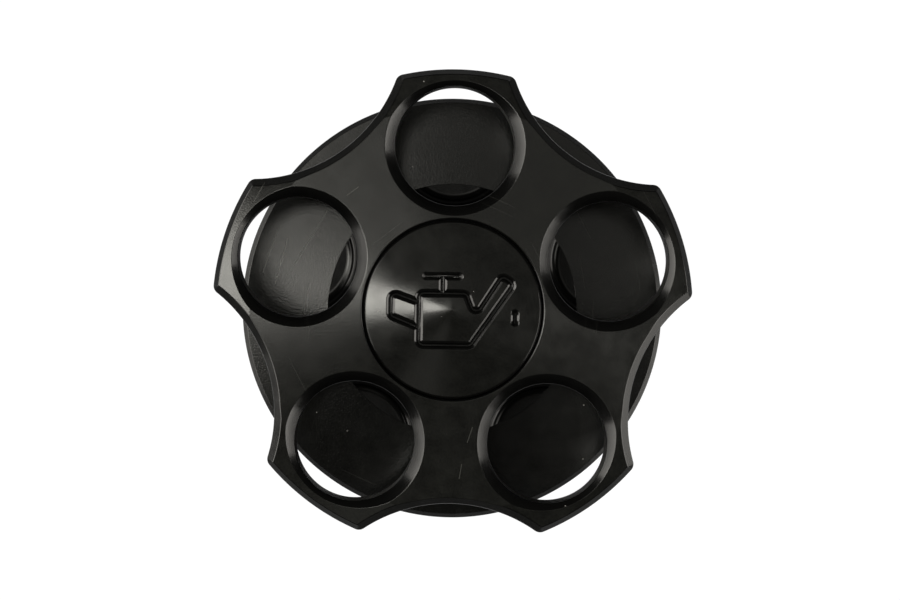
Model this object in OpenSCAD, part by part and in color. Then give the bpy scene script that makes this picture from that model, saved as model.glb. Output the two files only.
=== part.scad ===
// Billet oil filler cap: a five-lobed finger grip, screwed to a flanged and threaded base,
// with a round engraved badge pushed into the grip over the screws.
// The origin is the centre of the flange's seat face, +Z points up to the grip, and the
// first lobe points along +Y.

/* [Grip] */
// Diameter over the tips of the lobes
grip_d = 65; // [62:0.5:72]
// Number of lobes, each with a finger hole
lobe_count = 5; // [4:1:6]
// Thickness of the grip's plate
grip_t = 8.5; // [7:0.5:11]
// Radius of the scallops between the lobes
scallop_r = 20.5; // [18:0.5:24]
// How far the scallops reach in from the circle of the lobe tips
scallop_depth = 6.3; // [4:0.1:7]
// Width of the sloping band round the grip's face
slope_w = 5.1; // [3:0.1:6]
// Slope of that band, in degrees
face_slope = 10; // [4:1:16]
// Bevel along the tips of the lobes
tip_bevel = 0.7; // [0.4:0.05:1]
// Bevel along the scallops
scallop_bevel = 0.9; // [0.4:0.05:1.2]
// Bevel round the underside of the grip
under_bevel = 0.4; // [0.2:0.05:0.8]

/* [Finger holes] */
// Wall between a finger hole and the recess of the badge
hole_web = 1.85; // [1.75:0.05:3]
// Wall between a finger hole and the tip of its lobe
lobe_wall = 2.25; // [1.8:0.05:4]
// Bevel round the mouth of each finger hole
hole_bevel = 1.35; // [0.6:0.05:1.5]
// Corner radius of the cutter, left where a finger hole ends on the hub
hole_fillet = 1.85; // [0.5:0.05:2.2]
// Height of the ledge on the hub above the flange
ledge_h = 0.8; // [0.4:0.1:2]

/* [Hub] */
// Diameter of the hub that carries the grip
hub_d = 34.5; // [32:0.5:38]
// Height of the finger gap between the flange and the grip
finger_gap = 5.5; // [4:0.5:9]
// Diameter of the register under the hub
register_d = 23; // [22:0.5:26]
// Height of the register under the hub
register_h = 2; // [1:0.25:2.5]
// Clearance round and under the register
register_gap = 0.05; // [0.02:0.01:0.1]

/* [Badge] */
// Diameter of the badge
badge_d = 24.1; // [22.4:0.1:24.5]
// Clearance round the badge in its recess
badge_gap = 0.15; // [0.05:0.05:0.3]
// Thickness of the badge's head
badge_t = 2.6; // [2:0.1:3]
// Bevel round the badge's face
badge_bevel = 0.3; // [0.1:0.05:0.5]
// Bevel round the mouth of the recess
recess_bevel = 0.2; // [0.1:0.05:0.4]
// Width of the shoulder that the badge's head rests on
shoulder_w = 1.2; // [0.8:0.1:1.6]
// Height of the boss under the badge's head
boss_h = 3.2; // [2.8:0.1:3.6]
// Section of the badge's O-ring as fitted
badge_ring_section = 1.3; // [1:0.1:1.6]
// Width of the engraved oil can
can_w = 17; // [15:0.5:18]
// Depth of the engraved lines
line_depth = 0.45; // [0.2:0.05:0.55]
// Width of the flat bottom of the engraved lines
line_floor = 0.24; // [0.1:0.02:0.34]

/* [Screws] */
// Number of clamp screws
screw_count = 3; // [3:1:4]
// Thread diameter of the clamp screws
screw_d = 4; // [3:0.5:4]
// Length of the clamp screws under the head
screw_length = 12; // [10:1:14]
// Head diameter of the clamp screws
head_d = 7; // [6:0.25:7.5]
// Width across the flats of the hexagon socket
socket_w = 3; // [2:0.5:3.5]
// Thickness of the spring washers
washer_t = 1.2; // [0.8:0.1:1.4]
// Space between the screw heads and the badge
head_space = 0.7; // [0.3:0.1:1]
// Clearance round the screws in the hub
screw_gap = 0.25; // [0.15:0.05:0.4]

/* [Base] */
// Diameter of the flange
flange_d = 58.2; // [52:0.2:62]
// Thickness of the flange
flange_t = 6; // [5:0.5:9]
// Bevel round the top of the flange
flange_bevel = 0.6; // [0.3:0.1:1]
// Diameter of the thread over its crests
thread_d = 36; // [33:0.5:39]
// Length of the spigot below the seat face
spigot_length = 15; // [12:0.5:20]
// Bevel at the spigot's free end
lead_bevel = 1.5; // [1:0.25:2]
// Width of the relief between the thread and the seat face
relief_w = 2.5; // [1.5:0.25:4]
// Depth of the relief below the crests
relief_depth = 2; // [1.5:0.1:2.5]
// Wall between the relief and the bore of the spigot
spigot_wall = 3.5; // [2.5:0.1:4.5]
// Floor left between the tapped holes and the bore of the spigot
blind_floor = 1.4; // [1:0.1:3]

/* [Seal] */
// Section of the seal O-ring
seal_section = 3; // [2.5:0.25:4]
// How far the seal O-ring stands out of its groove
seal_proud = 0.8; // [0.4:0.1:1]
// Land between the thread's crests and the seal groove
seal_land = 1; // [0.8:0.1:1.6]
// Space left for the ring across its groove
seal_space = 0.7; // [0.4:0.1:1]

/* [Hidden] */

$fn = 96;
over = 1;            // how far a cutter runs past the face that it cuts
ring_gap = 0.02;     // clearance between a rubber ring and the walls of its groove
seam_turn = 37;      // turns a revolved cutter's start clear of the edges that it makes
first_lobe = 90;     // direction of the first lobe, in degrees
lobe_step = 360 / lobe_count;

// Heights above the seat face
grip_low = flange_t + finger_gap;
grip_top = grip_low + grip_t;
ledge_z = flange_t + ledge_h;
shoulder_z = grip_top - badge_t;
boss_low = shoulder_z - boss_h;
head_top = boss_low - head_space;
head_low = head_top - screw_d;
screw_floor = head_low - washer_t;
screw_tip = head_low - screw_length;
register_low = flange_t - register_h;
tap_space = 1.1;     // depth of the tapped holes past the screw tips
tap_low = screw_tip - tap_space;
bore_roof = tap_low - blind_floor;

// Radii
grip_r = grip_d / 2;
face_r = grip_r - slope_w;
recess_r = badge_d / 2 + badge_gap;
hole_r = (grip_r - lobe_wall - hole_web - recess_r) / 2;
hole_circle_r = grip_r - lobe_wall - hole_r;
scallop_circle_r = grip_r - scallop_depth + scallop_r;
boss_bore_r = recess_r - shoulder_w;
boss_r = boss_bore_r - badge_gap;
screw_wall_gap = 0.5;
screw_circle_r = boss_bore_r - screw_wall_gap - head_d / 2;
thread_r = thread_d / 2;
relief_r = thread_r - relief_depth;
bore_r = relief_r - spigot_wall;
tap_gap = 0.03;      // clearance between a screw's crests and its tapped hole
seal_groove_r = thread_r + seal_land;
seal_groove_w = seal_section + seal_space;
seal_groove_h = seal_section - seal_proud;
edge_z = grip_top - slope_w * tan(face_slope);

anodised = [0.07, 0.07, 0.075];
bright_anodised = [0.10, 0.10, 0.105];
rubber = [0.03, 0.03, 0.03];
steel = [0.45, 0.45, 0.46];

// A pattern round the axis, with its first copy in the direction `start`
module around(count, radius, start) {
    for (i = [0 : count - 1])
        rotate([0, 0, start + i * 360 / count]) translate([radius, 0, 0]) children();
}

// Grip, hub and register as they are turned, before anything is milled
module turned_blank() {
    rotate_extrude() polygon([
        [0, register_low + register_gap],
        [register_d / 2, register_low + register_gap],
        [register_d / 2, flange_t],
        [hub_d / 2, flange_t],
        [hub_d / 2, grip_low],
        [grip_r - under_bevel, grip_low],
        [grip_r, grip_low + under_bevel],
        [grip_r, edge_z - tip_bevel],
        [grip_r - tip_bevel, edge_z - tip_bevel + tip_bevel * (1 + tan(face_slope))],
        [face_r, grip_top],
        [0, grip_top]
    ]);
}

// Round cutter of a scallop, with the bevels of its upper and lower edges
module scallop_cutter() {
    rotate([0, 0, seam_turn]) rotate_extrude() polygon([
        [0, grip_low - over],
        [scallop_r + under_bevel + over, grip_low - over],
        [scallop_r, grip_low + under_bevel],
        [scallop_r, grip_top - scallop_bevel],
        [scallop_r + scallop_bevel + over, grip_top + over],
        [0, grip_top + over]
    ]);
}

// Round-cornered cutter of a finger hole, with the bevel of its mouth
module hole_cutter() {
    rotate_extrude() {
        translate([0, ledge_z]) square([hole_r - hole_fillet, grip_top + over - ledge_z]);
        translate([0, ledge_z + hole_fillet])
            square([hole_r, grip_top + over - ledge_z - hole_fillet]);
        translate([hole_r - hole_fillet, ledge_z + hole_fillet]) circle(r = hole_fillet);
        polygon([
            [0, grip_top - hole_bevel],
            [hole_r, grip_top - hole_bevel],
            [hole_r + hole_bevel + over, grip_top + over],
            [0, grip_top + over]
        ]);
    }
}

// Stepped recess for the badge, its boss and the screw heads
module recess_cutter() {
    rotate_extrude() polygon([
        [0, screw_floor],
        [boss_bore_r, screw_floor],
        [boss_bore_r, shoulder_z],
        [recess_r, shoulder_z],
        [recess_r, grip_top - recess_bevel],
        [recess_r + recess_bevel + over, grip_top + over],
        [0, grip_top + over]
    ]);
}

module star_knob() {
    color(anodised) difference() {
        turned_blank();
        around(lobe_count, scallop_circle_r, first_lobe + lobe_step / 2) scallop_cutter();
        around(lobe_count, hole_circle_r, first_lobe) hole_cutter();
        recess_cutter();
        around(screw_count, screw_circle_r, first_lobe)
            translate([0, 0, register_low - over])
                cylinder(r = screw_d / 2 + screw_gap, h = screw_floor - register_low + 2 * over);
    }
}

// Engraved outline of an oil can with a drip, drawn on a grid 17 squares wide. Each line is the
// path of a bevelled cutter. Lines that join another one end just short of its centre line.
can_grid = can_w / 17;
can_body = [[-4.6, 2.2], [-4.6, -4.8], [2.4, -4.8], [8.2, 3.6], [6.6, 4.7], [3.0, -0.9], [1.8, 2.2]];
can_handle = [[-4.68, 1.0], [-8.4, 2.3], [-8.4, -0.9], [-4.68, -2.4]];
can_lid = [[-3.6, 4.5], [0.8, 4.5]];
can_neck = [[-1.4, 4.45], [-1.4, 2.25]];
oil_drop = [[8.4, -0.4], [8.4, -1.6]];

line_over = 0.05;    // how far the engraving cutter runs past the face
line_top_w = line_floor / 2 + line_depth + line_over;
corner_spare = 0.1;  // radius left on the inside of a rounded corner
corner_r = line_top_w + corner_spare;
corner_steps = 4;

function unit(v) = v / norm(v);
function left(v) = [-v[1], v[0]];
function turn(v) = atan2(v[1], v[0]);
function short_turn(a) = a > 180 ? a - 360 : a < -180 ? a + 360 : a;

// Points of the arc that rounds the corner b between a and c
function corner(a, b, c) =
    let (u = unit(a - b), v = unit(c - b), half = acos(u * v) / 2,
         centre = b + unit(u + v) * corner_r / sin(half),
         from = turn(b + u * corner_r / tan(half) - centre),
         sweep = short_turn(turn(b + v * corner_r / tan(half) - centre) - from))
    [for (i = [0 : corner_steps])
        centre + corner_r * [cos(from + sweep * i / corner_steps), sin(from + sweep * i / corner_steps)]];

function rounded(p, closed) =
    let (n = len(p))
    [for (i = [0 : n - 1])
        each (!closed && (i == 0 || i == n - 1)) ? [p[i]]
            : corner(p[(i + n - 1) % n], p[i], p[(i + 1) % n])];

// Sweep of the bevelled cutter along a path, with mitred joints and bevelled ends
module engraved(points, closed = false) {
    path = rounded(points * can_grid, closed);
    n = len(path);
    runs = closed ? n : n - 1;
    function ahead(i) = unit(path[(i + 1) % n] - path[i]);
    function dir_in(i) = (closed || i > 0) ? ahead((i + n - 1) % n) : ahead(0);
    function dir_out(i) = (closed || i < n - 1) ? ahead(i) : ahead(n - 2);
    function mitre(i) = (left(dir_in(i)) + left(dir_out(i))) / (1 + dir_in(i) * dir_out(i));
    function push(i) = closed ? [0, 0] : i == 0 ? -dir_out(0) : i == n - 1 ? dir_in(i) : [0, 0];
    function ring(i) = [
        path[i] + (push(i) + mitre(i)) * line_floor / 2,
        path[i] + (push(i) - mitre(i)) * line_floor / 2,
        path[i] + (push(i) - mitre(i)) * line_top_w,
        path[i] + (push(i) + mitre(i)) * line_top_w
    ];
    low = grip_top - line_depth;
    high = grip_top + line_over;
    heights = [low, low, high, high];
    corners = [for (i = [0 : n - 1]) for (k = [0 : 3]) concat(ring(i)[k], heights[k])];
    sides = [for (i = [0 : runs - 1]) for (k = [0 : 3])
        let (j = (i + 1) % n, m = (k + 1) % 4) [i * 4 + k, i * 4 + m, j * 4 + m, j * 4 + k]];
    caps = closed ? [] : [[0, 3, 2, 1], [for (k = [0 : 3]) (n - 1) * 4 + k]];
    polyhedron(corners, concat(sides, caps));
}

module badge() {
    ring_low = boss_low + (boss_h - badge_ring_section) / 2 - ring_gap;
    ring_high = ring_low + badge_ring_section + 2 * ring_gap;
    groove_r = boss_bore_r - badge_ring_section - 2 * ring_gap;
    color(bright_anodised) difference() {
        rotate_extrude() polygon([
            [0, boss_low],
            [boss_r, boss_low],
            [boss_r, ring_low],
            [groove_r, ring_low],
            [groove_r, ring_high],
            [boss_r, ring_high],
            [boss_r, shoulder_z],
            [badge_d / 2, shoulder_z],
            [badge_d / 2, grip_top - badge_bevel],
            [badge_d / 2 - badge_bevel, grip_top],
            [0, grip_top]
        ]);
        engraved(can_body, closed = true);
        engraved(can_handle);
        engraved(can_lid);
        engraved(can_neck);
        engraved(oil_drop);
    }
}

module badge_o_ring() {
    color(rubber) rotate_extrude()
        translate([boss_bore_r - ring_gap - badge_ring_section / 2, boss_low + boss_h / 2])
            circle(d = badge_ring_section);
}

module clamp_screws() {
    head_bevel = 0.3;
    socket_depth = screw_d / 2;
    color(steel) around(screw_count, screw_circle_r, first_lobe) difference() {
        rotate_extrude() polygon([
            [0, screw_tip],
            [screw_d / 2 - head_bevel, screw_tip],
            [screw_d / 2, screw_tip + head_bevel],
            [screw_d / 2, head_low],
            [head_d / 2, head_low],
            [head_d / 2, head_top - head_bevel],
            [head_d / 2 - head_bevel, head_top],
            [0, head_top]
        ]);
        translate([0, 0, head_top - socket_depth])
            cylinder(d = socket_w / cos(30), h = socket_depth + over, $fn = 6);
    }
}

module spring_washers() {
    washer_gap = 0.05;
    washer_rim = 0.15;
    slit_w = 0.5;
    color(steel) around(screw_count, screw_circle_r, first_lobe)
        translate([0, 0, screw_floor]) difference() {
            cylinder(r = head_d / 2 - washer_rim, h = washer_t);
            translate([0, 0, -over]) cylinder(r = screw_d / 2 + washer_gap, h = washer_t + 2 * over);
            translate([0, -slit_w / 2, -over]) cube([head_d, slit_w, washer_t + 2 * over]);
        }
}

module threaded_base() {
    edge_bevel = 0.4;
    color(anodised) difference() {
        rotate_extrude() polygon([
            [0, bore_roof],
            [bore_r, bore_roof],
            [bore_r, -spigot_length + edge_bevel],
            [bore_r + edge_bevel, -spigot_length],
            [thread_r - lead_bevel, -spigot_length],
            [thread_r, -spigot_length + lead_bevel],
            [thread_r, -relief_w - relief_depth],
            [relief_r, -relief_w],
            [relief_r, 0],
            [seal_groove_r, 0],
            [seal_groove_r, seal_groove_h],
            [seal_groove_r + seal_groove_w, seal_groove_h],
            [seal_groove_r + seal_groove_w, 0],
            [flange_d / 2 - edge_bevel, 0],
            [flange_d / 2, edge_bevel],
            [flange_d / 2, flange_t - flange_bevel],
            [flange_d / 2 - flange_bevel, flange_t],
            [register_d / 2 + register_gap, flange_t],
            [register_d / 2 + register_gap, register_low],
            [0, register_low]
        ]);
        around(screw_count, screw_circle_r, first_lobe)
            translate([0, 0, tap_low])
                cylinder(r = screw_d / 2 + tap_gap, h = register_low - tap_low + over);
    }
}

module seal_o_ring() {
    color(rubber) rotate_extrude()
        translate([seal_groove_r + seal_groove_w / 2, seal_groove_h - ring_gap - seal_section / 2])
            circle(d = seal_section);
}

star_knob();
badge();
badge_o_ring();
clamp_screws();
spring_washers();
threaded_base();
seal_o_ring();
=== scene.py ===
import math

import bmesh
import bpy
from mathutils import Matrix, Vector


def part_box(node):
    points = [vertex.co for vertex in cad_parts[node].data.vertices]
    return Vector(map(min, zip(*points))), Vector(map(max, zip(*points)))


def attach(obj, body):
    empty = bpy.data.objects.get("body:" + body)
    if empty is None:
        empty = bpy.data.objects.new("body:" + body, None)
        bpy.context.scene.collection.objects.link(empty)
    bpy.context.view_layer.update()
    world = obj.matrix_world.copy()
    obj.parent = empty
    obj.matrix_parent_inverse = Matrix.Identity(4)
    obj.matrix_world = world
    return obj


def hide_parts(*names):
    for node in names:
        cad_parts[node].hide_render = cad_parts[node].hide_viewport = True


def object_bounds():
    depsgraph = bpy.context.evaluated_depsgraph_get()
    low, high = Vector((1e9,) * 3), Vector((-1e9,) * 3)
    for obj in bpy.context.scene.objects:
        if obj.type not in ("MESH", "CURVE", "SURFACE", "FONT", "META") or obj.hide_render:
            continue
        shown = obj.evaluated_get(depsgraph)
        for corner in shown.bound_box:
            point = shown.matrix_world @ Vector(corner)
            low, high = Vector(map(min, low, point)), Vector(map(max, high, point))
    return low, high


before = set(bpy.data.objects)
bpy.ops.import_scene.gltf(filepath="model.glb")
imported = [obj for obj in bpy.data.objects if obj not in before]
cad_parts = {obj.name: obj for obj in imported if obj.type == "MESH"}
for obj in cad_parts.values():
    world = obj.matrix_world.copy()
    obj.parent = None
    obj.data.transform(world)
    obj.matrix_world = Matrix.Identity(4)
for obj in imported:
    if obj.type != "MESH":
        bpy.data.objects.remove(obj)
cad_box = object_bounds()
scene = bpy.context.scene

# Camera. It looks down on the grip's face from 475 mm above it, a little from the upper left,
# and is rolled so that the first lobe leans as in the photograph.
mm = 0.001
photo_w, photo_h = 900, 600
axis_px = (452.74, 309.82)          # where the cap's axis meets the grip's face
px = 0.13479 * mm                   # width of a pixel at the grip's face
camera_rise = 475 * mm
camera_off = (-2.9 * mm, 7.3 * mm)  # right of and above the axis, as the view has them
lobe_lean = math.radians(0.85)

face_centre = Vector((0, 0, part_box("star_knob")[1].z))
view_right = Vector((math.cos(lobe_lean), math.sin(lobe_lean), 0))
view_up = Vector((-math.sin(lobe_lean), math.cos(lobe_lean), 0))
aim_right, aim_up = (photo_w / 2 - axis_px[0]) * px, (axis_px[1] - photo_h / 2) * px
aim = face_centre + view_right * aim_right + view_up * aim_up
place = face_centre + view_right * camera_off[0] + view_up * camera_off[1]
place.z += camera_rise
back = (place - aim).normalized()
side = view_up.cross(back).normalized()
camera = bpy.data.objects.new("camera", bpy.data.cameras.new("camera"))
camera.data.sensor_width = 36
camera.data.lens = camera.data.sensor_width * (place - aim).length / (photo_w * px)
camera.data.clip_start = 0.01
camera.matrix_world = Matrix((side, back.cross(side), back)).transposed().to_4x4()
camera.location = place
scene.collection.objects.link(camera)
scene.camera = camera
scene.view_settings.view_transform = "Standard"


# Floor and light. A white paper floor in a dark room, with a soft light at the left, a lower one
# at the right and a low strip at the lower right, as the reflections on the cap show.
def add(tree, kind, inputs=None, **settings):
    """Adds a node, makes its settings, and sets or links its inputs, named or numbered."""
    node = tree.nodes.new(kind)
    for key, value in settings.items():
        setattr(node, key, value)
    for key, value in (inputs or {}).items():
        if isinstance(value, bpy.types.NodeSocket):
            tree.links.new(value, node.inputs[key])
        else:
            node.inputs[key].default_value = value
    return node


def calc(tree, operation, *values):
    return add(tree, "ShaderNodeMath", dict(enumerate(values)), operation=operation).outputs[0]


def vector(tree, operation, *values):
    """Works on vectors, and gives a vector, or the number that a length or a product is."""
    made = add(tree, "ShaderNodeVectorMath", dict(enumerate(values)), operation=operation)
    return made.outputs["Value" if operation in ("LENGTH", "DOT_PRODUCT") else "Vector"]


def scaled(tree, value, start, end, low=0.0, high=1.0, **settings):
    """Carries a value over from one range to another, and holds it at the ends."""
    return add(tree, "ShaderNodeMapRange", {"Value": value, "From Min": start, "From Max": end,
                                            "To Min": low, "To Max": high}, **settings).outputs[0]


def seen_rays(tree):
    """1 for the rays that show the background: the camera's, and those in metal and glass."""
    path = add(tree, "ShaderNodeLightPath")
    seen = calc(tree, "MAXIMUM", path.outputs["Is Camera Ray"], path.outputs["Is Glossy Ray"])
    return calc(tree, "MAXIMUM", seen, path.outputs["Is Transmission Ray"])


floor_w = 4.0
glow_share = 0.93                   # the rest of the floor's white takes the cap's shadow
seen_white = 1.08                   # what the camera sees of the glow
paper_near, paper_far = 0.06, 0.20  # in reflections the paper darkens between these distances
far_grey = 0.08
white, paper_white = (1, 1, 1, 1), (0.9, 0.9, 0.9, 1)
corner = floor_w / 2
floor_mesh = bpy.data.meshes.new("floor")
floor_mesh.from_pydata([(-corner, -corner, 0), (corner, -corner, 0), (corner, corner, 0),
                        (-corner, corner, 0)], [], [(0, 1, 2, 3)])
floor_mesh.transform(Matrix.Translation((0, 0, cad_box[0].z)))
floor = bpy.data.objects.new("floor", floor_mesh)
scene.collection.objects.link(floor)
paper = bpy.data.materials.new("white paper")
paper.use_nodes = True
tree = paper.node_tree
tree.nodes.clear()
away = vector(tree, "LENGTH", add(tree, "ShaderNodeTexCoord").outputs["Object"])
path = add(tree, "ShaderNodeLightPath")
shine = add(tree, "ShaderNodeMix", {
    0: path.outputs["Is Camera Ray"], 2: scaled(tree, away, paper_near, paper_far, 1.0, far_grey),
    3: seen_white})
matt = add(tree, "ShaderNodeBsdfDiffuse", {"Color": paper_white})
glow = add(tree, "ShaderNodeEmission", {"Color": white, "Strength": shine.outputs[0]})
mixed = add(tree, "ShaderNodeMixShader", {0: calc(tree, "MULTIPLY", seen_rays(tree), glow_share),
                                          1: matt.outputs[0], 2: glow.outputs[0]})
add(tree, "ShaderNodeOutputMaterial", {"Surface": mixed.outputs[0]})
floor_mesh.materials.append(paper)

# The room: a dark ceiling and walls, and mainly at the left a screen of light that leans over the
# cap. Each stretch of it has its azimuths, their softness, its elevations, all in degrees, and
# its strength.
ceiling, horizon = 0.03, 0.06
wall_top = 0.30                     # height on the room's sphere where the walls end
room_colour = (1.0, 0.98, 0.9, 1)
elevation_soft = 3
screen = [(164, 187, 4, 60, 73, 9.5), (158, 182, 4, 40, 60, 4.0), (150, 177, 3, 73, 83, 2.7),
          (108, 150, 8, 74, 85, 1.35), (177, 204, 6, 66, 83, 0.6), (-40, 108, 12, 70, 84, 0.30),
          (320, 400, 20, 70, 84, 0.08), (236, 262, 8, 54, 70, 0.22), (330, 390, 8, 38, 50, 2.2)]


def window(tree, angle, low, high, soft):
    """1 between two angles in degrees, with soft edges."""
    low_start, low_end, high_start, high_end = (
        math.radians(a) for a in (low - soft, low + soft, high - soft, high + soft))
    rise = scaled(tree, angle, low_start, low_end, interpolation_type="SMOOTHSTEP")
    fall = scaled(tree, angle, high_start, high_end, 1.0, 0.0, interpolation_type="SMOOTHSTEP")
    return calc(tree, "MULTIPLY", rise, fall)


world = bpy.data.worlds.new("studio")
scene.world = world
world.use_nodes = True
tree = world.node_tree
tree.nodes.clear()
way = add(tree, "ShaderNodeTexCoord")
axes = add(tree, "ShaderNodeSeparateXYZ", {0: way.outputs["Generated"]}).outputs
azimuth = calc(tree, "ARCTAN2", calc(tree, "MULTIPLY", axes["Y"], -1),
               calc(tree, "MULTIPLY", axes["X"], -1))
elevation = calc(tree, "ARCSINE", axes["Z"])
strength = scaled(tree, axes["Z"], 0.0, wall_top, horizon, ceiling)
for start, end, soft, low, high, bright in screen:
    share = calc(tree, "MULTIPLY", window(tree, azimuth, start - 180, end - 180, soft),
                 window(tree, elevation, low, high, elevation_soft))
    strength = calc(tree, "MULTIPLY_ADD", share, bright, strength)
path = add(tree, "ShaderNodeLightPath").outputs
shown = calc(tree, "MAXIMUM", path["Is Camera Ray"], path["Is Transmission Ray"])
room = add(tree, "ShaderNodeBackground", {"Color": room_colour, "Strength": strength})
pale = add(tree, "ShaderNodeBackground", {"Color": white, "Strength": 1.0})
mixed = add(tree, "ShaderNodeMixShader", {0: shown, 1: room.outputs[0], 2: pale.outputs[0]})
add(tree, "ShaderNodeOutputWorld", {"Surface": mixed.outputs[0]})


def softbox(name, azimuth, low, high, spread, brightness, distance=0.7):
    """A rectangular light that faces the cap, from one elevation to another, as wide as spread."""
    azimuth, low, high, spread = (math.radians(a) for a in (azimuth, low, high, spread))
    middle = (low + high) / 2
    lamp = bpy.data.lights.new(name, "AREA")
    lamp.shape = "RECTANGLE"
    lamp.size = 2 * distance * math.tan(spread / 2)
    lamp.size_y = 2 * distance * math.tan((high - low) / 2)
    lamp.energy = brightness * math.pi * lamp.size * lamp.size_y
    lamp.color = (1.0, 0.965, 0.90)
    obj = bpy.data.objects.new(name, lamp)
    towards = Vector((math.cos(azimuth) * math.cos(middle), math.sin(azimuth) * math.cos(middle),
                      math.sin(middle)))
    obj.rotation_euler = towards.to_track_quat("Z", "Y").to_euler()
    obj.location = face_centre + towards * distance
    obj.visible_camera = False
    scene.collection.objects.link(obj)


softbox("left softbox", azimuth=178, low=0, high=42, spread=54, brightness=3.2)
softbox("right softbox", azimuth=-12, low=0, high=30, spread=44, brightness=3.0)
softbox("low strip", azimuth=-20, low=-5.5, high=2.5, spread=50, brightness=1.3, distance=0.3)


# Star knob. The grip and its hub, turned and then milled from one aluminium blank, satin
# black anodised. The scallops and finger holes repeat round the axis.
lobes, screws = 5, 3
first_lobe = math.pi / 2
grip_r = 32.5
grip_low, grip_top = 11.5, 20.0
face_r, face_slope = 27.4, math.tan(math.radians(10))
tip_bevel, scallop_bevel, under_bevel = 0.7, 0.86, 0.4
hub_r, flange_top = 17.25, 6.0
register_r, register_low = 11.5, 4.05
scallop_r, scallop_circle = 20.5, 46.7
lobe_round = 1.2                    # radius of the lobes' corners
hole_r, hole_circle = 8.1, 22.15
hole_bevel, hole_fillet, ledge_z = 1.35, 1.85, 6.8
recess_r, recess_bevel, shoulder_z = 12.2, 0.2, 17.4
boss_bore_r, screw_floor = 11.0, 8.3
screw_circle, screw_hole_r = 7.0, 2.25
past = 1.0                          # how far a cutter runs past the face that it cuts


def turned(name, profile_at, sides):
    """Revolves the closed outline that profile_at gives for an angle, as (radius, height)."""
    rings = []
    verts = []
    for i in range(sides):
        angle = 2 * math.pi * i / sides
        ring = []
        for j, (r, z) in enumerate(profile_at(angle)):
            if r == 0 and i > 0:
                ring.append(rings[0][j])
                continue
            ring.append(len(verts))
            verts.append((r * mm * math.cos(angle), r * mm * math.sin(angle), z * mm))
        rings.append(ring)
    faces = []
    for i, ring in enumerate(rings):
        after = rings[(i + 1) % sides]
        for j in range(len(ring)):
            k = (j + 1) % len(ring)
            corners = list(dict.fromkeys((ring[j], after[j], after[k], ring[k])))
            if len(corners) > 2:
                faces.append(corners)
    mesh = bpy.data.meshes.new(name)
    mesh.from_pydata(verts, [], faces)
    build = bmesh.new()
    build.from_mesh(mesh)
    return outward(name, build, mesh)


def outward(name, build, mesh):
    """Turns the faces outwards and gives the shape as an object."""
    bmesh.ops.recalc_face_normals(build, faces=build.faces)
    build.to_mesh(mesh)
    build.free()
    obj = bpy.data.objects.new(name, mesh)
    scene.collection.objects.link(obj)
    return obj


def face_height(r):
    return grip_top - max(0.0, r - face_r) * face_slope


def arc(centre_r, centre_z, radius, start, end, steps):
    """Points of an arc in the profile's plane, with its angles in degrees."""
    angles = [math.radians(start + (end - start) * i / steps) for i in range(steps + 1)]
    return [(centre_r + radius * math.cos(a), centre_z + radius * math.sin(a)) for a in angles]


def blank_profile(angle):
    tip_r = grip_r - tip_bevel
    return [(0, register_low), (register_r, register_low), (register_r, flange_top),
            (hub_r, flange_top), (hub_r, grip_low), (grip_r - under_bevel, grip_low),
            (grip_r, grip_low + under_bevel), (grip_r, face_height(grip_r) - tip_bevel),
            (tip_r, face_height(tip_r)), (face_r, grip_top), (0, grip_top)]


def scallop_profile(angle):
    """The scallop's cutter, whose bevel follows the face's slope."""
    rim = Vector((scallop_circle + scallop_r * math.cos(angle), scallop_r * math.sin(angle)))
    top = face_height(min(rim.length, grip_r))
    return [(0, grip_low - past), (scallop_r + under_bevel + past, grip_low - past),
            (scallop_r, grip_low + under_bevel), (scallop_r, top - scallop_bevel),
            (scallop_r + scallop_bevel + past, top + past), (0, top + past)]


def hole_profile(angle):
    corner_round = arc(hole_r - hole_fillet, ledge_z + hole_fillet, hole_fillet, -90, 0, 16)
    return [(0, ledge_z)] + corner_round + [
        (hole_r, grip_top - hole_bevel), (hole_r + hole_bevel + past, grip_top + past),
        (0, grip_top + past)]


def recess_profile(angle):
    return [(0, screw_floor), (boss_bore_r, screw_floor), (boss_bore_r, shoulder_z),
            (recess_r, shoulder_z), (recess_r, grip_top - recess_bevel),
            (recess_r + recess_bevel + past, grip_top + past), (0, grip_top + past)]


def screw_hole_profile(angle):
    return [(0, register_low - past), (screw_hole_r, register_low - past),
            (screw_hole_r, screw_floor + past), (0, screw_floor + past)]


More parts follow.
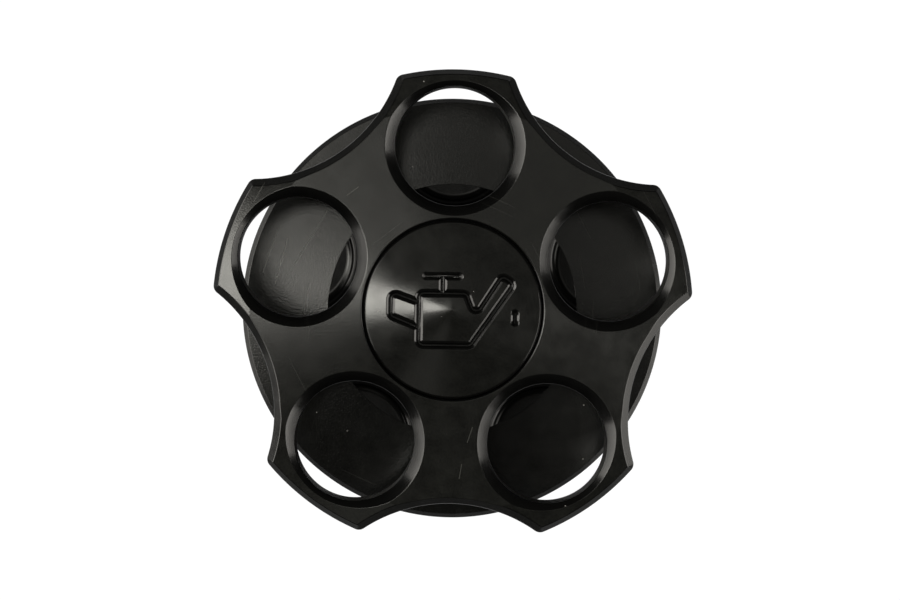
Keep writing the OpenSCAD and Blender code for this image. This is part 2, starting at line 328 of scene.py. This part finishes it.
def corner_cutter(name, steps):
    """Two sectors beside a scallop, in its own frame, that round the lobes' bevelled corners."""
    reach = grip_r - lobe_round
    turn = math.acos((reach ** 2 + scallop_circle ** 2 - (scallop_r + lobe_round) ** 2)
                     / (2 * reach * scallop_circle))
    centre = Vector((reach * math.cos(turn), reach * math.sin(turn)))
    to_scallop = math.atan2(-centre.y, scallop_circle - centre.x)
    outer, slip = lobe_round + 3, 0.3
    end_gap = 0.005                 # so that the sector's ends cut no step
    build = bmesh.new()
    for mirror in (1, -1):
        rings = []
        for i in range(steps + 1):
            share = i / steps
            angle = turn + (to_scallop - turn) * share
            way = Vector((math.cos(angle), math.sin(angle)))
            top = face_height(min((centre + way * lobe_round).length, grip_r))
            bevel = tip_bevel + (scallop_bevel - tip_bevel) * share
            crest = top - bevel + (bevel + slip) * (1 + (1 - share) * face_slope)
            wall = lobe_round + (end_gap if i in (0, steps) else 0)
            outline = [(outer, grip_low - slip), (lobe_round - under_bevel - slip, grip_low - slip),
                       (wall, grip_low + under_bevel), (wall, top - bevel),
                       (lobe_round - bevel - slip, crest), (outer, crest)]
            rings.append([build.verts.new(((centre.x + way.x * r - scallop_circle) * mm,
                                           mirror * (centre.y + way.y * r) * mm, z * mm))
                          for r, z in outline])
        for ring, after in zip(rings, rings[1:]):
            for j in range(len(ring)):
                k = (j + 1) % len(ring)
                build.faces.new((ring[j], after[j], after[k], ring[k]))
        build.faces.new(rings[0])
        build.faces.new(rings[-1])
    return outward(name, build, bpy.data.meshes.new(name))


def new_tree(name, sockets):
    """A geometry tree with a geometry in and out, and named inputs for its sizes."""
    tree = bpy.data.node_groups.new(name, "GeometryNodeTree")
    tree.interface.new_socket("Geometry", in_out="INPUT", socket_type="NodeSocketGeometry")
    for label, kind in sockets.items():
        tree.interface.new_socket(label, in_out="INPUT", socket_type="NodeSocket" + kind)
    tree.interface.new_socket("Geometry", in_out="OUTPUT", socket_type="NodeSocketGeometry")
    return tree, add(tree, "NodeGroupInput").outputs


def shape_of(tree, obj):
    return add(tree, "GeometryNodeObjectInfo", {"Object": obj}).outputs["Geometry"]


def pattern(tree, cutter, count, radius, start):
    """Copies of the cutter round the axis, each turned to face it."""
    points = add(tree, "GeometryNodeMeshCircle", {"Vertices": count, "Radius": radius})
    turn = add(tree, "ShaderNodeCombineXYZ", {"Z": start})
    turned_points = add(tree, "GeometryNodeTransform", {"Geometry": points.outputs[0],
                                                        "Rotation": turn.outputs[0]})
    number = add(tree, "GeometryNodeInputIndex").outputs[0]
    angle = calc(tree, "MULTIPLY_ADD", number, calc(tree, "DIVIDE", math.tau, count), start)
    facing = add(tree, "ShaderNodeCombineXYZ", {"Z": angle})
    copies = add(tree, "GeometryNodeInstanceOnPoints", {
        "Points": turned_points.outputs[0], "Instance": shape_of(tree, cutter),
        "Rotation": facing.outputs[0]})
    return add(tree, "GeometryNodeRealizeInstances", {0: copies.outputs[0]}).outputs[0]


def boolean(tree, operation, solver, solids, cut_from=None, crossing=False):
    """Joins or crosses the solids, or takes them away from cut_from."""
    made = add(tree, "GeometryNodeMeshBoolean", operation=operation, solver=solver)
    if cut_from is not None:
        tree.links.new(cut_from, made.inputs[0])
    if crossing:
        made.inputs["Self Intersection"].default_value = True
    for solid in solids:
        tree.links.new(solid, made.inputs[1])
    return made.outputs[0]


def finish_tree(tree, geometry, finish):
    dressed = add(tree, "GeometryNodeSetMaterial", {"Geometry": geometry, "Material": finish})
    add(tree, "NodeGroupOutput", {0: dressed.outputs[0]})


def settle(obj):
    """Turns the object and its modifiers into a plain mesh."""
    bpy.context.view_layer.update()
    evaluated = obj.evaluated_get(bpy.context.evaluated_depsgraph_get())
    mesh = bpy.data.meshes.new_from_object(evaluated)
    obj.modifiers.clear()
    obj.data = mesh
    mesh.name = obj.name


def grow(obj, tree, values):
    """Gives the object the mesh that the tree makes of it, and removes the cutters."""
    modifier = obj.modifiers.new(tree.name, "NODES")
    modifier.node_group = tree
    for item in tree.interface.items_tree:
        if item.item_type == "SOCKET" and item.in_out == "INPUT" and item.name in values:
            modifier[item.identifier] = values[item.name]
    settle(obj)
    finishes = obj.data.materials
    for i in reversed(range(len(finishes))):
        if finishes[i] is None:
            finishes.pop(index=i)
    for helper in values.values():
        if isinstance(helper, bpy.types.Object):
            bpy.data.objects.remove(helper)


def ease(obj, width, fine):
    """Breaks the sharp edges and lays the normals flat on the flats."""
    # flatter edges than these are merged away, shaded smooth, and left unbroken
    merged, smooth, unbroken = (math.radians(a) for a in (0.2, 8.5, 22))
    mesh = obj.data
    low, high = ([bound(vert.co[i] for vert in mesh.vertices) for i in range(3)]
                 for bound in (min, max))
    build = bmesh.new()
    build.from_mesh(mesh)
    bmesh.ops.remove_doubles(build, verts=build.verts, dist=fine)
    bmesh.ops.dissolve_limit(build, angle_limit=merged, verts=build.verts, edges=build.edges)
    for face in build.faces:
        face.smooth = True
    for edge in build.edges:
        edge.smooth = len(edge.link_faces) == 2 and edge.calc_face_angle(0) < smooth
    build.to_mesh(mesh)
    build.free()
    bevel = obj.modifiers.new("broken edges", "BEVEL")
    bevel.width = width
    bevel.segments = 2
    bevel.limit_method = "ANGLE"
    bevel.angle_limit = unbroken
    bevel.use_clamp_overlap = False
    bevel.harden_normals = True
    weighted = obj.modifiers.new("flat normals", "WEIGHTED_NORMAL")
    weighted.keep_sharp = True
    settle(obj)
    for vert in obj.data.vertices:      # no broken edge stands over the flats
        vert.co = [min(max(at, a), b) for at, a, b in zip(vert.co, low, high)]


def refinish(obj, finish, chosen):
    """Gives another finish to the faces that chosen picks by their normal and centre."""
    obj.data.materials.append(finish)
    for face in obj.data.polygons:
        if chosen(face.normal, face.center):
            face.material_index = len(obj.data.materials) - 1


tree, given = new_tree("milled star", {
    "Scallop": "Object", "Corner": "Object", "Finger hole": "Object", "Recess": "Object",
    "Screw hole": "Object", "Lobes": "Int", "Screws": "Int", "Scallop circle": "Float",
    "Hole circle": "Float", "Screw circle": "Float", "First lobe": "Float", "Finish": "Material"})
between = calc(tree, "ADD", given["First lobe"], calc(tree, "DIVIDE", math.pi, given["Lobes"]))
milled = boolean(tree, "DIFFERENCE", "MANIFOLD", [
    pattern(tree, given["Scallop"], given["Lobes"], given["Scallop circle"], between),
    pattern(tree, given["Corner"], given["Lobes"], given["Scallop circle"], between),
    pattern(tree, given["Finger hole"], given["Lobes"], given["Hole circle"], given["First lobe"]),
    shape_of(tree, given["Recess"]),
    pattern(tree, given["Screw hole"], given["Screws"], given["Screw circle"],
            given["First lobe"])], cut_from=given["Geometry"])
finish_tree(tree, milled, given["Finish"])
milled_star = tree


def new_group(name, inputs, outputs):
    """A shader group with named inputs, given with their usual values, and named outputs."""
    group = bpy.data.node_groups.new(name, "ShaderNodeTree")
    for label, value in inputs.items():
        kind = "Vector" if label == "Place" else "Float"
        socket = group.interface.new_socket(label, in_out="INPUT", socket_type="NodeSocket" + kind)
        if value is not None:
            socket.default_value = value
    for label in outputs:
        group.interface.new_socket(label, in_out="OUTPUT", socket_type="NodeSocketFloat")
    return group, add(group, "NodeGroupInput").outputs


def cloud(tree, place, scale, detail=3.0, low=0.0, high=1.0, start=0.25, end=0.75):
    """Soft noise over the surface, stretched between two values."""
    noise = add(tree, "ShaderNodeTexNoise", {"Vector": place, "Scale": scale, "Detail": detail})
    return scaled(tree, noise.outputs["Fac"], start, end, low, high)


def axis_distance(tree, place):
    return vector(tree, "LENGTH", vector(tree, "MULTIPLY", place, (1, 1, 0)))


# Marks of the lathe: rings round the axis, of uneven depth, and the radius for a slight dome
micron = 0.001 * mm
nose = 1.5 * mm                     # the dome's point is this blunt
lathe_marks, given = new_group("lathe marks", {"Place": None, "Fine": 9000.0, "Coarse": 1400.0},
                               ["Height", "Radius"])
radius = axis_distance(lathe_marks, given["Place"])
eased = calc(lathe_marks, "SQRT", calc(lathe_marks, "MULTIPLY_ADD", radius, radius, nose ** 2))
heights = []
for rate in ("Fine", "Coarse"):
    ring_number = calc(lathe_marks, "MULTIPLY", radius, given[rate])
    rings = add(lathe_marks, "ShaderNodeTexNoise", {"W": ring_number, "Detail": 2.0},
                noise_dimensions="1D")
    heights.append(rings.outputs["Fac"])
add(lathe_marks, "NodeGroupOutput", {"Height": calc(lathe_marks, "ADD", *heights),
                                     "Radius": eased})

# Handling: dust specks, scattered hair scratches, the longer scratches of the real cap, a clouded
# film and fine grain. The hairs' cells are long and thin: each kind has its way in degrees, or
# None where it runs round the axis, its cells a metre across, and the share that stays bare.
speck_cells, speck_r, speck_bare = 700.0, 0.06, 0.91
hair_cells, hair_r, hair_fade = 26.0, 0.05, 0.09
faintest, faintness = 0.08, 0.3
mean_r = 22 * mm                    # radius at which an angle counts as a length
hair_kinds = [(None, 900.0, 0.92), (24, 1100.0, 0.95), (62, 1300.0, 0.93), (80, 1500.0, 0.94),
              (-38, 1300.0, 0.97)]
scratch_core, scratch_edge = 0.02, 0.08
long_scratches = [((-24.2, 10.9), (-26.3, 4.6)), ((-17.5, 13.3), (-22.0, 5.7)),
                  ((-25.6, 16.8), (-27.1, 14.1)), ((-12.9, 16.4), (-14.5, 15.2)),
                  ((2.9, -15.8), (2.2, -17.9)), ((1.5, -20.8), (1.2, -22.8)),
                  ((-19.8, 3.2), (-20.6, -1.4)), ((-22.9, 9.4), (-24.6, 3.0))]


def hair_scratches(tree, laid, across, bare):
    """Thin hairs along x, some fainter than others."""
    drawn = vector(tree, "MULTIPLY", laid, (hair_cells, across, 0.0))
    cells = add(tree, "ShaderNodeTexVoronoi", {"Vector": drawn, "Scale": 1.0},
                voronoi_dimensions="2D").outputs
    hair = scaled(tree, cells["Distance"], hair_r, hair_fade, 1.0, 0.0)
    lot = add(tree, "ShaderNodeSeparateColor", {0: cells["Color"]}).outputs
    chosen = calc(tree, "GREATER_THAN", lot[0], bare)
    faint = calc(tree, "MULTIPLY_ADD", lot[1], faintness, faintest)
    return calc(tree, "MULTIPLY", calc(tree, "MULTIPLY", hair, chosen), faint)


def long_scratch(tree, place, start, end):
    """A straight scratch between two points, in mm from the axis, with soft sides."""
    start, end = (Vector((x, y, 0)) * mm for x, y in (start, end))
    along = (end - start).normalized()
    apart = vector(tree, "SUBTRACT", place, (start + end) / 2)
    forward = calc(tree, "ABSOLUTE", vector(tree, "DOT_PRODUCT", apart, along))
    aside = vector(tree, "DOT_PRODUCT", apart, (-along.y, along.x, 0))
    inside = calc(tree, "LESS_THAN", forward, (end - start).length / 2)
    narrow = scaled(tree, calc(tree, "ABSOLUTE", aside), scratch_core * mm, scratch_edge * mm,
                    1.0, 0.0)
    return calc(tree, "MULTIPLY", inside, narrow)


handling, given = new_group("handling", {"Place": None, "Scratches": 1.0},
                            ["Dust", "Scratch", "Film", "Grain"])
place = given["Place"]
cells = add(handling, "ShaderNodeTexVoronoi", {"Vector": place, "Scale": speck_cells}).outputs
lot = add(handling, "ShaderNodeSeparateColor", {0: cells["Color"]}).outputs
dust = calc(handling, "MULTIPLY", calc(handling, "LESS_THAN", cells["Distance"], speck_r),
            calc(handling, "GREATER_THAN", lot[0], speck_bare))
axes = add(handling, "ShaderNodeSeparateXYZ", {0: place}).outputs
turn = calc(handling, "ARCTAN2", axes["Y"], axes["X"])
around = add(handling, "ShaderNodeCombineXYZ", {
    0: calc(handling, "MULTIPLY", turn, mean_r), 1: axis_distance(handling, place), 2: axes["Z"]})
scratch = 0.0
for way, across, bare in hair_kinds:
    laid = around if way is None else add(handling, "ShaderNodeVectorRotate", {
        "Vector": place, "Angle": math.radians(way)}, rotation_type="Z_AXIS")
    scratch = calc(handling, "MAXIMUM", scratch,
                   hair_scratches(handling, laid.outputs[0], across, bare))
for start, end in long_scratches:
    scratch = calc(handling, "MAXIMUM", scratch, long_scratch(handling, place, start, end))
add(handling, "NodeGroupOutput", {
    "Dust": dust, "Scratch": calc(handling, "MULTIPLY", scratch, given["Scratches"]),
    "Film": cloud(handling, place, 420.0, 6.0, start=0.31, end=0.69),
    "Grain": cloud(handling, place, 4200.0, 2.0, start=0.35, end=0.65)})


def new_material(name):
    """A material with its shader's inputs, the place on the piece and the marks of handling."""
    material = bpy.data.materials.new(name)
    material.use_nodes = True
    tree = material.node_tree
    place = add(tree, "ShaderNodeTexCoord").outputs["Object"]
    worn = add(tree, "ShaderNodeGroup", {}, node_tree=handling)
    tree.links.new(place, worn.inputs["Place"])
    return material, tree, tree.nodes["Principled BSDF"].inputs, place, worn


def tint(tree, share, first, second):
    """From the first colour to the second."""
    return add(tree, "ShaderNodeMix", {0: share, 6: first, 7: second}, data_type="RGBA").outputs[2]


def emboss(tree, shader, height, distance):
    bump = add(tree, "ShaderNodeBump", {"Height": height, "Strength": 1.0, "Distance": distance})
    tree.links.new(bump.outputs[0], shader["Normal"])


# Scratches are painted paler than the oxide: partly their scored skin, partly a painted glint of
# their edges.
scratch_and_glint_colour, dust_colour = (0.08, 0.08, 0.074, 1), (0.45, 0.44, 0.42, 1)
scratch_depth, dust_roughness = 0.5, 0.9
film_roughness = 0.025              # how far the film changes the roughness


def anodised(name, shade, roughness, stretch=0.0, rings=0.0, lean=0.0, scratches=0.5, grain=0.4,
             index=1.62):
    """Black anodised aluminium: a dark base under a clear oxide skin, with the marks of its making.

    Rings and grain are heights in micrometres, lean is the slope of a turned dome in degrees, and
    index is the oxide's refractive index."""
    dark, light = ((0.98 * tone, tone, 0.90 * tone, 1) for tone in (0.4 * shade, 1.6 * shade))
    material, tree, shader, place, worn = new_material(name)
    worn.inputs["Scratches"].default_value = scratches
    shader["IOR"].default_value = index
    marks = worn.outputs
    mottle = calc(tree, "MULTIPLY_ADD", marks["Film"], 0.5,
                  calc(tree, "MULTIPLY", marks["Grain"], 0.5))
    # the scratches take the paler colour, partly a painted glint
    scratched = tint(tree, marks["Scratch"], tint(tree, mottle, dark, light), scratch_and_glint_colour)
    tree.links.new(tint(tree, marks["Dust"], scratched, dust_colour), shader["Base Color"])
    clouded = scaled(tree, marks["Film"], 0.0, 1.0, roughness - film_roughness,
                     roughness + film_roughness)
    rough = add(tree, "ShaderNodeMix", {0: marks["Dust"], 2: clouded, 3: dust_roughness})
    tree.links.new(rough.outputs[0], shader["Roughness"])
    height = calc(tree, "MULTIPLY", marks["Grain"], grain)
    if rings:
        turning = add(tree, "ShaderNodeGroup", {}, node_tree=lathe_marks)
        tree.links.new(place, turning.inputs["Place"])
        fall = -math.tan(math.radians(lean)) / micron
        height = calc(tree, "MULTIPLY_ADD", turning.outputs["Height"], rings, height)
        height = calc(tree, "MULTIPLY_ADD", turning.outputs["Radius"], fall, height)
    height = calc(tree, "MULTIPLY_ADD", marks["Scratch"], -scratch_depth, height)
    emboss(tree, shader, height, micron)
    if stretch:
        shader["Anisotropic"].default_value = stretch
        shader["Anisotropic Rotation"].default_value = 0.25
        round_axis = add(tree, "ShaderNodeTangent", {}, direction_type="RADIAL", axis="Z")
        tree.links.new(round_axis.outputs[0], shader["Tangent"])
    return material


milled_face = anodised("milled black anodised", 0.0010, roughness=0.20)
# The fillets and ledges at the foot of the finger holes are finer milled, and are also painted
# darker than the other milled faces: a painted shade for that dark recess.
fine_cut_and_painted_shade = anodised("finely milled black anodised", 0.0006, roughness=0.16, grain=0.1, index=1.38)
ledge_and_painted_shade = anodised("milled ledge black anodised", 0.0006, roughness=0.21, grain=0.2, index=1.45)
wall_cut = anodised("side milled black anodised", 0.0012, roughness=0.42)
bevel_cut = anodised("bevelled black anodised", 0.004, roughness=0.15)
turned_face = anodised("turned black anodised", 0.012, roughness=0.19, stretch=0.88, rings=0.5,
                       lean=4, scratches=1.0, grain=2.4)

knob = turned("star_knob_body", blank_profile, 360)
grow(knob, milled_star, {
    "Scallop": turned("scallop cutter", scallop_profile, 240),
    "Corner": corner_cutter("corner cutter", 12),
    "Finger hole": turned("finger hole cutter", hole_profile, 192),
    "Recess": turned("recess cutter", recess_profile, 192),
    "Screw hole": turned("screw hole cutter", screw_hole_profile, 48),
    "Lobes": lobes, "Screws": screws, "Scallop circle": scallop_circle * mm,
    "Hole circle": hole_circle * mm, "Screw circle": screw_circle * mm,
    "First lobe": first_lobe, "Finish": milled_face})
ease(knob, 0.08 * mm, 0.01 * mm)
hole_ways = [first_lobe + i * math.tau / lobes for i in range(lobes)]
hole_centres = [Vector((math.cos(way), math.sin(way))) * hole_circle * mm for way in hole_ways]
countersink_r = (hole_r + hole_bevel + 0.1) * mm
outline_low, hub_edge, face_low = 17 * mm, 14 * mm, 18.5 * mm   # what tells the faces apart


def on_ledge(normal, centre):
    return ledge_z * mm - micron < centre.z < (ledge_z + hole_fillet) * mm


def on_outline_bevel(normal, centre):
    """The bevels of the lobes and scallops, but not of the finger holes or the recess."""
    outside = all((centre.xy - hole).length > countersink_r for hole in hole_centres)
    sloping = 0.5 < normal.z < 0.9
    return outside and sloping and centre.z > outline_low and centre.xy.length > hub_edge


refinish(knob, turned_face, lambda normal, centre: normal.z > 0.975 and centre.z > face_low)
refinish(knob, wall_cut, lambda normal, centre: abs(normal.z) < 0.3)
# painted shade: the foot of each finger hole gets the darker finishes
refinish(knob, fine_cut_and_painted_shade, on_ledge)
refinish(knob, ledge_and_painted_shade, lambda normal, centre: on_ledge(normal, centre) and normal.z > 0.99)
refinish(knob, bevel_cut, on_outline_bevel)
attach(knob, "root")
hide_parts("star_knob")


# Badge. A disc turned from aluminium bar and anodised, pressed into the grip's recess over the
# screws by its O-ring. An oil can with a drip is cut into its face with a bevelled engraving tool.
badge_r, badge_bevel, boss_r, boss_low = 12.05, 0.3, 10.85, 14.2
ring_groove_r, ring_low, ring_high = 9.66, 15.13, 16.47
line_depth, line_floor, corner_r = 0.45, 0.24, 0.72
line_rise = line_depth + 0.05       # the tool ends just over the face
line_top = line_floor / 2 + line_rise
crown_r, crown_rise = line_floor / 2 + 0.15, 0.25   # the groove's walls are slightly crowned
can_lines = [
    (True, [(-4.6, 2.2), (-4.6, -4.8), (2.4, -4.8), (8.2, 3.6), (6.6, 4.7), (3.0, -0.9),
            (1.8, 2.2)]),
    (False, [(-4.68, 1.0), (-8.4, 2.3), (-8.4, -0.9), (-4.68, -2.4)]),
    (False, [(-3.6, 4.5), (0.8, 4.5)]),
    (False, [(-1.4, 4.45), (-1.4, 2.25)]),
    (False, [(8.4, -0.4), (8.4, -1.6)]),
]


def badge_profile(angle):
    return [(0, boss_low), (boss_r, boss_low), (boss_r, ring_low), (ring_groove_r, ring_low),
            (ring_groove_r, ring_high), (boss_r, ring_high), (boss_r, shoulder_z),
            (badge_r, shoulder_z), (badge_r, grip_top - badge_bevel),
            (badge_r - badge_bevel, grip_top), (0, grip_top)]


def line_object(name, lines, z=0.0):
    """A curve object of straight lines, each closed or open."""
    curve = bpy.data.curves.new(name, "CURVE")
    curve.dimensions = "3D"
    for closed, points in lines:
        spline = curve.splines.new("POLY")
        spline.points.add(len(points) - 1)
        for point, (x, y) in zip(spline.points, points):
            point.co = (x * mm, y * mm, z * mm, 1)
        spline.use_cyclic_u = closed
    obj = bpy.data.objects.new(name, curve)
    scene.collection.objects.link(obj)
    return obj


def sweep(tree, curve, section):
    """The section carried along the curve, its y always down."""
    return add(tree, "GeometryNodeCurveToMesh", {
        "Curve": curve, "Profile Curve": shape_of(tree, section), "Fill Caps": True}).outputs[0]


def upright(tree, curve):
    return add(tree, "GeometryNodeSetCurveNormal", {"Curve": curve}, mode="Z_UP").outputs[0]


tree, given = new_tree("engraving", {
    "Lines": "Object", "Section": "Object", "Corner radius": "Float", "Floor radius": "Float",
    "Top radius": "Float", "Rise": "Float", "Finish": "Material"})
rounded = add(tree, "GeometryNodeFilletCurve", {
    "Curve": upright(tree, shape_of(tree, given["Lines"])), "Count": 8, "Limit Radius": True,
    "Radius": given["Corner radius"]}, mode="POLY").outputs[0]
ends = add(tree, "GeometryNodeCurveEndpointSelection", {0: 1, 1: 1})
closed = add(tree, "GeometryNodeInputSplineCyclic")
open_ends = add(tree, "FunctionNodeBooleanMath", {0: ends.outputs[0], 1: closed.outputs[0]},
                operation="NIMPLY")
cone = add(tree, "GeometryNodeMeshCone", {
    "Vertices": 24, "Radius Top": given["Top radius"], "Radius Bottom": given["Floor radius"],
    "Depth": given["Rise"]})
cones = add(tree, "GeometryNodeInstanceOnPoints", {
    "Points": rounded, "Selection": open_ends.outputs[0], "Instance": cone.outputs["Mesh"]})
real_cones = add(tree, "GeometryNodeRealizeInstances", {0: cones.outputs[0]})
engraved = boolean(tree, "DIFFERENCE", "EXACT",
                   [sweep(tree, rounded, given["Section"]), real_cones.outputs[0]],
                   cut_from=given["Geometry"], crossing=True)
finish_tree(tree, engraved, given["Finish"])

badge_cuts = anodised("engraved black anodised", 0.0025, roughness=0.18, scratches=0.0)
badge_face = anodised("badge black anodised", 0.010, roughness=0.19, stretch=0.7, rings=0.25,
                      lean=12, scratches=0.4, grain=1.0)
badge = turned("badge_disc", badge_profile, 256)
grow(badge, tree, {
    "Lines": line_object("can lines", can_lines, grip_top - line_depth),
    "Section": line_object("line section", [(True, [
        (-line_top, -line_rise), (line_top, -line_rise), (crown_r, -crown_rise),
        (line_floor / 2, 0), (-line_floor / 2, 0), (-crown_r, -crown_rise)])]),
    "Corner radius": corner_r * mm, "Floor radius": line_floor / 2 * mm,
    "Top radius": line_top * mm, "Rise": line_rise * mm, "Finish": badge_cuts})
ease(badge, 0.06 * mm, 0.005 * mm)
badge_flat = (grip_top - 0.05) * mm
refinish(badge, badge_face, lambda normal, centre: normal.z > 0.99 and centre.z > badge_flat)
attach(badge, "root")
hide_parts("badge")


# Threaded base. The flange, its seal groove and the spigot are turned in one piece from bar,
# with an M36 x 3 right-hand thread, and three blind holes tapped for the clamp screws.
flange_r, flange_bevel, under_edge = 29.1, 0.6, 0.4
seal_in, seal_out, seal_top = 19.0, 22.7, 2.2
thread_r, thread_pitch, thread_root = 18.0, 3.0, 16.38
thread_turns = 5.0
crest_half, root_half = 0.19, 1.125
spigot_end, lead_bevel = -15.0, 1.5
relief_r, relief_w = 16.0, 2.5
bore_r, bore_roof = 12.5, -5.0
socket_r, socket_low = 11.55, 4.0
tap_r, tap_low = 2.03, -3.6


def base_profile(angle):
    """The base, its spigot as wide as the thread's root."""
    return [(0, bore_roof), (bore_r, bore_roof), (bore_r, spigot_end + under_edge),
            (bore_r + under_edge, spigot_end), (thread_root, spigot_end),
            (thread_root, -relief_w - (thread_root - relief_r)), (relief_r, -relief_w),
            (relief_r, 0), (seal_in, 0), (seal_in, seal_top), (seal_out, seal_top), (seal_out, 0),
            (flange_r - under_edge, 0), (flange_r, under_edge),
            (flange_r, flange_top - flange_bevel), (flange_r - flange_bevel, flange_top),
            (socket_r, flange_top), (socket_r, socket_low), (0, socket_low)]


def envelope_profile(angle):
    """What the thread keeps within: its crests, the lead at its end and the relief."""
    return [(relief_r - 1, spigot_end), (thread_r - lead_bevel, spigot_end),
            (thread_r, spigot_end + lead_bevel), (thread_r, -relief_w - (thread_r - relief_r)),
            (relief_r, -relief_w), (relief_r - 1, -relief_w)]


def tap_profile(angle):
    return [(0, tap_low - tap_r * 0.5), (tap_r, tap_low), (tap_r, socket_low + past),
            (0, socket_low + past)]


def ridge_outline():
    """The thread's ridge, from inside the spigot to past its crests."""
    flank = (root_half - crest_half) / (thread_r - thread_root)
    inner, outer = -0.4, thread_r - thread_root + 0.25
    return [(inner, -root_half + inner * flank), (outer, -root_half + outer * flank),
            (outer, root_half - outer * flank), (inner, root_half - inner * flank)]


tree, given = new_tree("screw thread", {
    "Envelope": "Object", "Tapped hole": "Object", "Section": "Object", "Screws": "Int",
    "Screw circle": "Float", "First screw": "Float", "Root radius": "Float", "Pitch": "Float",
    "Turns": "Float", "Low end": "Float", "Finish": "Material"})
helix = add(tree, "GeometryNodeCurveSpiral", {
    "Resolution": 96, "Rotations": given["Turns"], "Start Radius": given["Root radius"],
    "End Radius": given["Root radius"], "Reverse": True,
    "Height": calc(tree, "MULTIPLY", given["Turns"], given["Pitch"])})
start = add(tree, "ShaderNodeCombineXYZ", {"Z": given["Low end"]})
placed = add(tree, "GeometryNodeTransform", {"Geometry": helix.outputs[0],
                                             "Translation": start.outputs[0]})
ridge = sweep(tree, upright(tree, placed.outputs[0]), given["Section"])
trimmed = boolean(tree, "INTERSECT", "EXACT", [shape_of(tree, given["Envelope"]), ridge])
joined = boolean(tree, "UNION", "EXACT", [given["Geometry"], trimmed])
tapped = boolean(tree, "DIFFERENCE", "EXACT", [
    pattern(tree, given["Tapped hole"], given["Screws"], given["Screw circle"],
            given["First screw"])], cut_from=joined)
finish_tree(tree, tapped, given["Finish"])

base_sides = anodised("turned sides black anodised", 0.0040, roughness=0.26)
flange_face = anodised("flange black anodised", 0.009, roughness=0.17, stretch=0.88, rings=0.6,
                       lean=4, scratches=1.0, grain=5.0)
base = turned("threaded_base_body", base_profile, 256)
grow(base, tree, {
    "Envelope": turned("thread envelope", envelope_profile, 256),
    "Tapped hole": turned("tapped hole cutter", tap_profile, 48),
    "Section": line_object("thread section", [(True, ridge_outline())]),
    "Screws": screws, "Screw circle": screw_circle * mm, "First screw": first_lobe,
    "Root radius": thread_root * mm, "Pitch": thread_pitch * mm, "Turns": thread_turns,
    "Low end": (spigot_end - 1.0) * mm, "Finish": base_sides})
ease(base, 0.05 * mm, 0.01 * mm)
refinish(base, flange_face, lambda normal, centre: abs(normal.z) > 0.99)
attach(base, "root")
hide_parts("threaded_base")


# Rubber rings. The seal ring in the flange's groove and the small ring round the badge's boss
# are moulded from black nitrile rubber, faintly dusty.
fresh_rubber, bloomed_rubber = (0.016, 0.016, 0.016, 1), (0.03, 0.03, 0.03, 1)
rubber_dust = (0.4, 0.4, 0.38, 1)
rubber, tree, shader, place, worn = new_material("nitrile rubber")
bloom = tint(tree, worn.outputs["Film"], fresh_rubber, bloomed_rubber)
tree.links.new(tint(tree, worn.outputs["Dust"], bloom, rubber_dust), shader["Base Color"])
tree.links.new(cloud(tree, place, 900.0, 4.0, 0.42, 0.55), shader["Roughness"])
emboss(tree, shader, cloud(tree, place, 5000.0), 2 * micron)


def rubber_ring(name, node, ring_r, ring_z, section_r, steps=32):
    def section(angle):
        return arc(ring_r, ring_z, section_r, 0, 360 * (steps - 1) / steps, steps - 1)
    ring = turned(name, section, 192)
    for face in ring.data.polygons:
        face.use_smooth = True
    ring.data.materials.append(rubber)
    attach(ring, "root")
    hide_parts(node)


rubber_ring("seal_ring", "seal_o_ring", ring_r=20.85, ring_z=0.68, section_r=1.5)
rubber_ring("badge_ring", "badge_o_ring", ring_r=10.33, ring_z=15.8, section_r=0.65)


# Clamp screws and spring washers. M4 socket head screws of blackened steel, each over a split
# washer, hidden under the badge.
dark_steel, light_steel = (0.035, 0.035, 0.038, 1), (0.085, 0.08, 0.075, 1)
steel = bpy.data.materials.new("blackened steel")
steel.use_nodes = True
tree = steel.node_tree
shader = tree.nodes["Principled BSDF"].inputs
shader["Metallic"].default_value = 1.0
place = add(tree, "ShaderNodeTexCoord").outputs["Object"]
patina = tint(tree, cloud(tree, place, 700.0, 5.0), dark_steel, light_steel)
tree.links.new(patina, shader["Base Color"])
tree.links.new(cloud(tree, place, 1500.0, 4.0, 0.3, 0.48), shader["Roughness"])
emboss(tree, shader, cloud(tree, place, 6000.0), 2 * micron)
for name in ("clamp_screws", "spring_washers"):
    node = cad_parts[name]
    node.data.materials.clear()
    node.data.materials.append(steel)
